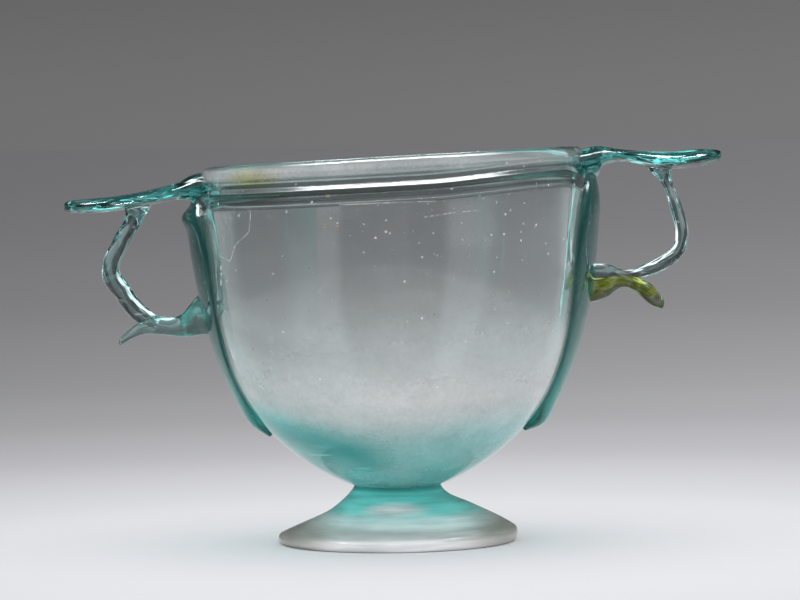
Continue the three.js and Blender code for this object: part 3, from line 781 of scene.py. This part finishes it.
def foot_piece():
    rest_outer = FOOT_RADIUS - FOOT_EDGE_ROUND
    rest_inner = rest_outer - FOOT_REST_WIDTH
    centre = (rest_outer, FOOT_EDGE_ROUND)
    sweep_cos, sweep_sin = math.cos(FOOT_EDGE_SWEEP), math.sin(FOOT_EDGE_SWEEP)
    edge = (centre[0] + FOOT_EDGE_ROUND * sweep_cos, centre[1] + FOOT_EDGE_ROUND * sweep_sin)
    pull = (edge[0] - FOOT_FLARE_PULL * sweep_sin, edge[1] + FOOT_FLARE_PULL * sweep_cos)
    profile = np.vstack([
        bezier([(0, FOOT_HOLLOW_DEPTH), (FOOT_HOLLOW_CROWN, FOOT_HOLLOW_DEPTH),
                (rest_inner - FOOT_HOLLOW_SPREAD, FOOT_HOLLOW_RISE), (rest_inner, 0)], 60),
        straight_across(0, rest_inner, rest_outer, 4),
        arc(centre, FOOT_EDGE_ROUND, -math.pi / 2, FOOT_EDGE_SWEEP, 22),
        bezier([
            edge, pull, (NECK_RADIUS + NECK_FLARE, FOOT_HEIGHT - NECK_FLARE_DROP),
            (NECK_RADIUS, FOOT_HEIGHT),
        ], 50)[1:],
        [(NECK_RADIUS - MELT, FOOT_HEIGHT + MELT)],
        straight_across(FOOT_HEIGHT + MELT, NECK_RADIUS - MELT, 0, 12),
        [(0, FOOT_HEIGHT + MELT)],
    ])
    points, faces, _ = turned(profile)
    obj = solid("foot", lean(points), faces)
    smooth(obj, TURNED_SHARP)
    return obj


def former_piece(shrink):
    profile = np.vstack([[(0, FOOT_HEIGHT)], OUTSIDE - [shrink, 0], crest(-shrink), [(0, RIM_Z - shrink)]])
    points, faces, _ = turned(profile)
    return solid("former", settle(points), faces)


def rim_at(handle):
    return RIM_Z + handle["side"] * RIM_RISE


def rest_piece(name, handle, grow, ripple=0.0):
    steps, sides = 90, 64
    share = np.sin(np.linspace(0, math.pi / 2, steps))
    out, drop, thickness = catmull(handle["rest"], share).T
    into = np.clip((out - (REST_REACH - REST_WIDTH / 2)) / (REST_WIDTH / 2), 0, 1)
    close = np.maximum(0.02, np.sqrt(1 - into ** 2))
    half_width = close * REST_WIDTH / 2 + grow
    half_thickness = np.cbrt(close) * thickness / 2 + grow
    turn = np.arange(sides) * 2 * math.pi / sides
    across = np.sign(np.cos(turn)) * np.abs(np.cos(turn)) ** (2 / REST_SQUARENESS)
    up = np.sign(np.sin(turn)) * np.abs(np.sin(turn)) ** (2 / REST_SQUARENESS)
    skin = np.stack(np.broadcast_arrays(0.2 * out[:, None], 9 * np.cos(turn), 9 * np.sin(turn)), -1)
    uneven = 1 - ripple * (1 + waves(skin, 7 + handle["side"], 7)) / 2
    rings = np.stack([
        np.repeat((handle["side"] * (BAND_RADIUS + out))[:, None], sides, 1),
        uneven * half_width[:, None] * across,
        (rim_at(handle) - drop)[:, None] + uneven * half_thickness[:, None] * up,
    ], -1)
    return solid(name, *loft(rings))


def rod(side, middle, across, radius, aspect):
    """Rings of points round a run of middles."""
    turn = np.arange(ROD_SIDES) * 2 * math.pi / ROD_SIDES
    step_length = np.linalg.norm(np.diff(middle[:, :2], axis=0), axis=1)
    travel = np.concatenate([[0], np.cumsum(step_length)])
    skin = np.stack(np.broadcast_arrays(5 * np.cos(turn), 5 * np.sin(turn), 0.3 * travel[:, None]), -1)
    uneven = radius[:, None] * (1 + RIPPLE * waves(skin, int(10 * abs(radius[0]) + side), 6))
    reach = uneven * np.cos(turn)
    return np.stack([
        side * (middle[:, 0:1] + across[:, 0:1] * reach),
        uneven * aspect * np.sin(turn),
        middle[:, 1:2] + across[:, 1:2] * reach,
    ], -1)


def spur_run(handle):
    height = rim_at(handle) - handle["spur_drop"]
    wall = float(wall_at(height)[0])
    return [[wall + out, height + rise, radius] for out, rise, radius in handle["spur"]]


def spur_piece(name, handle, grow):
    run = spur_run(handle)
    middle = catmull(run, np.linspace(0, 1, 110))
    end = middle[-1]
    along = catmull(run, np.array([1.0]))[0] - catmull(run, np.array([0.999]))[0]
    along /= np.linalg.norm(along)
    turn = np.linspace(0, math.radians(87), 12)[1:]
    tip = end + along * ((end[2] + grow) * np.sin(turn))[:, None]
    places = np.vstack([middle, tip])
    radius = np.concatenate([middle[:, 2] + grow, (end[2] + grow) * np.cos(turn)])
    upright = np.tile([0.0, 1.0], (len(places), 1))
    return solid(name, *loft(rod(handle["side"], places, upright, radius, SPUR_ASPECT)))


def station_at(stations, first):
    run = catmull(stations, np.linspace(0, 1, 2000))
    return [float(np.interp(first, run[:, 0], run[:, i])) for i in range(3)]


def ring_piece(name, handle):
    root_out, root_radius = handle["ring_root"]
    rim = rim_at(handle)
    root_drop = station_at(handle["rest"], root_out)[1]
    middle = [[BAND_RADIUS + out, rim - drop, radius] for out, drop, radius in handle["ring"]]
    end_out = float(wall_at(rim - handle["spur_drop"])[0]) + handle["ring_end"]
    last = middle[-1]
    end = station_at(spur_run(handle), end_out) if handle["ring_end"] > 0 else [end_out, last[1]]
    run = [[BAND_RADIUS + root_out, rim - root_drop, root_radius], *middle, [end[0], end[1], last[2]]]
    share = np.linspace(0, 1, 170)
    places = catmull(run, share)
    along = catmull(run, np.minimum(share + 1e-4, 1)) - catmull(run, np.maximum(share - 1e-4, 0))
    along /= np.linalg.norm(along, axis=1, keepdims=True)
    across = np.stack([-along[:, 1], along[:, 0]], -1)
    across /= np.linalg.norm(across, axis=1, keepdims=True)
    return solid(name, *loft(rod(handle["side"], places, across, places[:, 2], RING_ASPECT)))


def trail_piece(name, handle, grow, inner):
    steps, strips = 120, 28
    drop, thickness, half_width = catmull(handle["trail"], np.linspace(0, 1, steps)).T
    height = RIM_Z - drop
    radius = wall_at(height)[0]
    bridged, out_r, out_z = wall_at(height, BRIDGE)
    start = math.pi if handle["side"] < 0 else 0.0

    def place(across, distance, base):
        turn = across * (half_width + grow) / bridged + start
        r = base + out_r * distance
        return np.stack([r * np.cos(turn), r * np.sin(turn), height + out_z * distance], -1)

    lines = []
    for k in range(strips + 1):
        across = -math.cos(math.pi * k / strips)
        crown = TRAIL_EDGE + (thickness - TRAIL_EDGE) * max(0.0, 1 - across * across) ** TRAIL_CROWN
        lines.append(place(across, CLEARANCE + crown + grow, bridged))
    for k in range(strips, -1, -1):
        lines.append(place(-math.cos(math.pi * k / strips), np.full(steps, inner), radius))
    return solid(name, *loft(settle(np.stack(lines, 1))))


def handle_pieces(side_name, handle, glasses):
    former = former_piece(MELT)
    rest_cut = rest_piece("rest_cut", handle, -MELT)
    trail_cut = trail_piece("trail_cut", handle, -MELT, -1.0)
    spur_cut = spur_piece("spur_cut", handle, -MELT)
    rest = carve(rest_piece(side_name + "_thumb_rest", handle, -MELT / 2, RIPPLE), [former])
    trail = carve(trail_piece(side_name + "_wall_trail", handle, 0, -MELT), [rest_cut])
    spur = carve(spur_piece(side_name + "_finger_spur", handle, 0), [former, trail_cut])
    ring = carve(ring_piece(side_name + "_ring", handle), [former, trail_cut, rest_cut, spur_cut])
    discard(former, rest_cut, trail_cut, spur_cut)
    made = [rest, trail, spur, ring]
    for obj, material in zip(made, glasses):
        smooth(obj, DRAWN_SHARP)
        obj.data.materials.clear()
        obj.data.materials.append(material)
    return made


rest_glass = trail_material("rest_glass", BLUE_GREEN, density=130)
strip_glass = trail_material("strip_glass", BLUE_GREEN, density=200, tint=STRIP_TINT, cloudy=0.055)
rod_glass = trail_material("rod_glass", BLUE_GREEN, density=105)
clear_spur_glass = trail_material(
    "clear_spur_glass", BLUE_GREEN, density=105, tint=CLEAR_SPUR_TINT, cloudy=0.07)
spur_glass = trail_material(
    "spur_glass", YELLOW_GREEN, density=110, tint=SPUR_TINT, cloudy=0.05, swirl=SPUR_SWIRL)
bowl = bowl_piece()
bowl.data.materials.append(bowl_material())
foot = foot_piece()
foot.data.materials.append(foot_material())
pieces = [bowl, foot]
pieces += handle_pieces("left", LEFT, [rest_glass, strip_glass, clear_spur_glass, rod_glass])
pieces += handle_pieces("right", RIGHT, [rest_glass, strip_glass, spur_glass, rod_glass])
for piece in pieces:
    node = piece.name.removesuffix("_glass")
    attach(piece, "root")
    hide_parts(node)


def studio_flags(tree, across):
    """Factor of the upright flags that only the glass shows, against how far a direction leans along X.

    It is 1 straight ahead, 0.4 in the dark flags, 4.4 in the light ones and 1.4 beyond them.
    """
    share = math_node(tree, "ABSOLUTE", across)
    dark = ramp_node(tree, share, 0.12, 0.2, 1.0, 0.4)
    light = ramp_node(tree, share, 0.48, 0.6, 0.0, 4.0)
    edge = ramp_node(tree, share, 0.84, 0.94, 0.0, 3.0)
    return math_node(tree, "SUBTRACT", math_node(tree, "ADD", dark, light), edge)


def shown_by(tree, chosen, factor):
    """The factor for the chosen rays, and 1 for the others."""
    mix = node_of(tree, "ShaderNodeMix", data_type="FLOAT")
    tree.links.new(chosen, mix.inputs["Factor"])
    mix.inputs["A"].default_value = 1.0
    tree.links.new(factor, mix.inputs["B"])
    return mix.outputs["Result"]


# Floor: a painted pool of light, pale round the cup and grey further off

def floor_piece():
    radii = np.concatenate([[0.0], np.geomspace(0.05, 60, 60)])
    segments = 96
    a = np.arange(segments) * 2 * math.pi / segments
    points = [(0.0, 0.0, 0.0)]
    for r in radii[1:]:
        points += [(r * math.cos(t), r * math.sin(t), 0.0) for t in a]
    faces = [(0, 1 + k, 1 + (k + 1) % segments) for k in range(segments)]
    for i in range(len(radii) - 2):
        for k in range(segments):
            n = (k + 1) % segments
            here, near = 1 + i * segments + k, 1 + i * segments + n
            far_here, far_near = 1 + (i + 1) * segments + k, 1 + (i + 1) * segments + n
            faces.append((here, far_here, far_near, near))
    mesh = bpy.data.meshes.new("floor")
    mesh.from_pydata(points, [], faces)
    obj = bpy.data.objects.new("floor", mesh)
    bpy.context.scene.collection.objects.link(obj)
    return obj


def floor_material():
    material = bpy.data.materials.new("floor_paper")
    material.use_nodes = True
    tree = material.node_tree
    shader = tree.nodes["Principled BSDF"]
    shader.inputs["Roughness"].default_value = 0.9
    shader.inputs["Specular IOR Level"].default_value = 0.0
    place = place_of(tree)
    x = axes_of(tree, place)["X"]
    offset = node_of(tree, "ShaderNodeVectorMath", operation="DISTANCE")
    tree.links.new(place, offset.inputs[0])
    offset.inputs[1].default_value = FLOOR_MIDDLE
    far = offset.outputs["Value"]
    share = math_node(tree, "DIVIDE", far, math_node(tree, "ADD", far, FLOOR_HALF_WAY))
    pool_greys = [(position, [value * part for part in COOL_WHITE]) for position, value in FLOOR_POOL_GREYS]
    painted_pool = ramp_colour(tree, share, pool_greys, "CARDINAL")
    # Painted light: lighter towards +X, further off
    gain = math_node(tree, "DIVIDE", x, math_node(tree, "ADD", far, 0.6))
    gain = math_node(tree, "MULTIPLY", gain, ramp_node(tree, far, 0.0, 0.8, 0.0, 0.9))
    gain = math_node(tree, "ADD", gain, 1.0)
    # Painted flags: for rays that come straight through glass, the floor turns darker in upright bands and,
    # further out, brighter than white, as if lit by light flags
    path = node_of(tree, "ShaderNodeLightPath")
    shallow = math_node(tree, "LESS_THAN", path.outputs["Diffuse Depth"], DIFFUSE_LIMIT)
    through = math_node(tree, "MULTIPLY", path.outputs["Is Transmission Ray"], shallow)
    flags = studio_flags(tree, math_node(tree, "DIVIDE", x, far))
    flags = math_node(tree, "MULTIPLY", flags, ramp_node(tree, far, 0.45, 0.7, 0.55, 1.0))
    gain = math_node(tree, "MULTIPLY", gain, shown_by(tree, through, flags))
    scaled = node_of(tree, "ShaderNodeVectorMath", operation="SCALE")
    tree.links.new(painted_pool, scaled.inputs[0])
    tree.links.new(gain, scaled.inputs["Scale"])
    tree.links.new(scaled.outputs["Vector"], shader.inputs["Base Color"])
    return material


floor = floor_piece()
floor.data.materials.append(floor_material())


# World: an even dome for matt surfaces. The camera and clear glass see a grey room and a soft box overhead.

def build_world():
    world = bpy.data.worlds.new("studio")
    bpy.context.scene.world = world
    world.use_nodes = True
    tree = world.node_tree
    back = tree.nodes["Background"]
    x, y, z = axes_of(tree, node_of(tree, "ShaderNodeTexCoord").outputs["Generated"])
    path = node_of(tree, "ShaderNodeLightPath")
    through = path.outputs["Is Transmission Ray"]
    # Grey room, lighter low down and towards +X, with its flags
    room = ramp_node(tree, z, 0.0, 0.07, 0.176, 0.118)
    room = math_node(tree, "MULTIPLY", room, math_node(tree, "MULTIPLY_ADD", x, 0.6, 1.0))
    room = math_node(tree, "MULTIPLY", room, shown_by(tree, through, studio_flags(tree, x)))
    room = math_node(tree, "MULTIPLY", room, ramp_node(tree, z, 0.07, 0.3, 1.0, 0.45))
    # Pale ceiling towards the camera
    ceiling_rise = ramp_node(tree, z, 0.5, 0.9, 0.0, 0.7)
    ceiling_near = ramp_node(tree, y, 0.0, 0.4, 1.0, 0.0)
    room = math_node(tree, "ADD", room, math_node(tree, "MULTIPLY", ceiling_rise, ceiling_near))
    # Soft box
    up = math_node(tree, "MAXIMUM", z, BOX_HORIZON)
    across = math_node(tree, "DIVIDE", x, up)
    depth = math_node(tree, "DIVIDE", y, up)
    box_across = ramp_node(tree, math_node(tree, "ABSOLUTE", across), 0.3, 0.9, 1, 0)
    box_near = ramp_node(tree, depth, -0.2, -0.05)
    box_far = ramp_node(tree, depth, 0.2, 0.5, 1, 0)
    box = math_node(tree, "MULTIPLY", box_across, math_node(tree, "MULTIPLY", box_near, box_far))
    mirrored = math_node(tree, "SUBTRACT", 1.0, through)
    power = math_node(tree, "MULTIPLY_ADD", mirrored, SOFT_BOX - SOFT_BOX_THROUGH, SOFT_BOX_THROUGH)
    seen = math_node(tree, "MULTIPLY_ADD", box, power, room)
    # Rays that see the room and the box
    clear = math_node(tree, "MAXIMUM", path.outputs["Is Camera Ray"], path.outputs["Is Glossy Ray"])
    clear = math_node(tree, "MAXIMUM", clear, through)
    shallow = math_node(tree, "LESS_THAN", path.outputs["Diffuse Depth"], DIFFUSE_LIMIT)
    clear = math_node(tree, "MULTIPLY", clear, shallow)
    tree.links.new(shown_by(tree, clear, seen), back.inputs["Strength"])
    back.inputs["Color"].default_value = (*COOL_WHITE, 1)


build_world()


# Camera at the photograph's angle
def build_camera():
    data = bpy.data.cameras.new("camera")
    data.sensor_width = SENSOR_WIDTH
    data.lens = FOCAL_PIXELS / PHOTO_PIXELS * SENSOR_WIDTH
    data.clip_start = 0.01
    data.clip_end = 200
    obj = bpy.data.objects.new("camera", data)
    bpy.context.scene.collection.objects.link(obj)
    forward = np.array([0, math.cos(CAMERA_PITCH), -math.sin(CAMERA_PITCH)])
    level = np.array([0, math.sin(CAMERA_PITCH), math.cos(CAMERA_PITCH)])
    right = np.array([math.cos(CAMERA_ROLL), 0, 0]) - math.sin(CAMERA_ROLL) * level
    up = np.array([math.sin(CAMERA_ROLL), 0, 0]) + math.cos(CAMERA_ROLL) * level
    turn = np.eye(4)
    turn[:3] = np.stack([right, up, -forward, CAMERA_PLACE], -1)
    obj.matrix_world = Matrix(turn.tolist())
    bpy.context.scene.camera = obj


build_camera()
bpy.context.scene.view_settings.view_transform = "Standard"
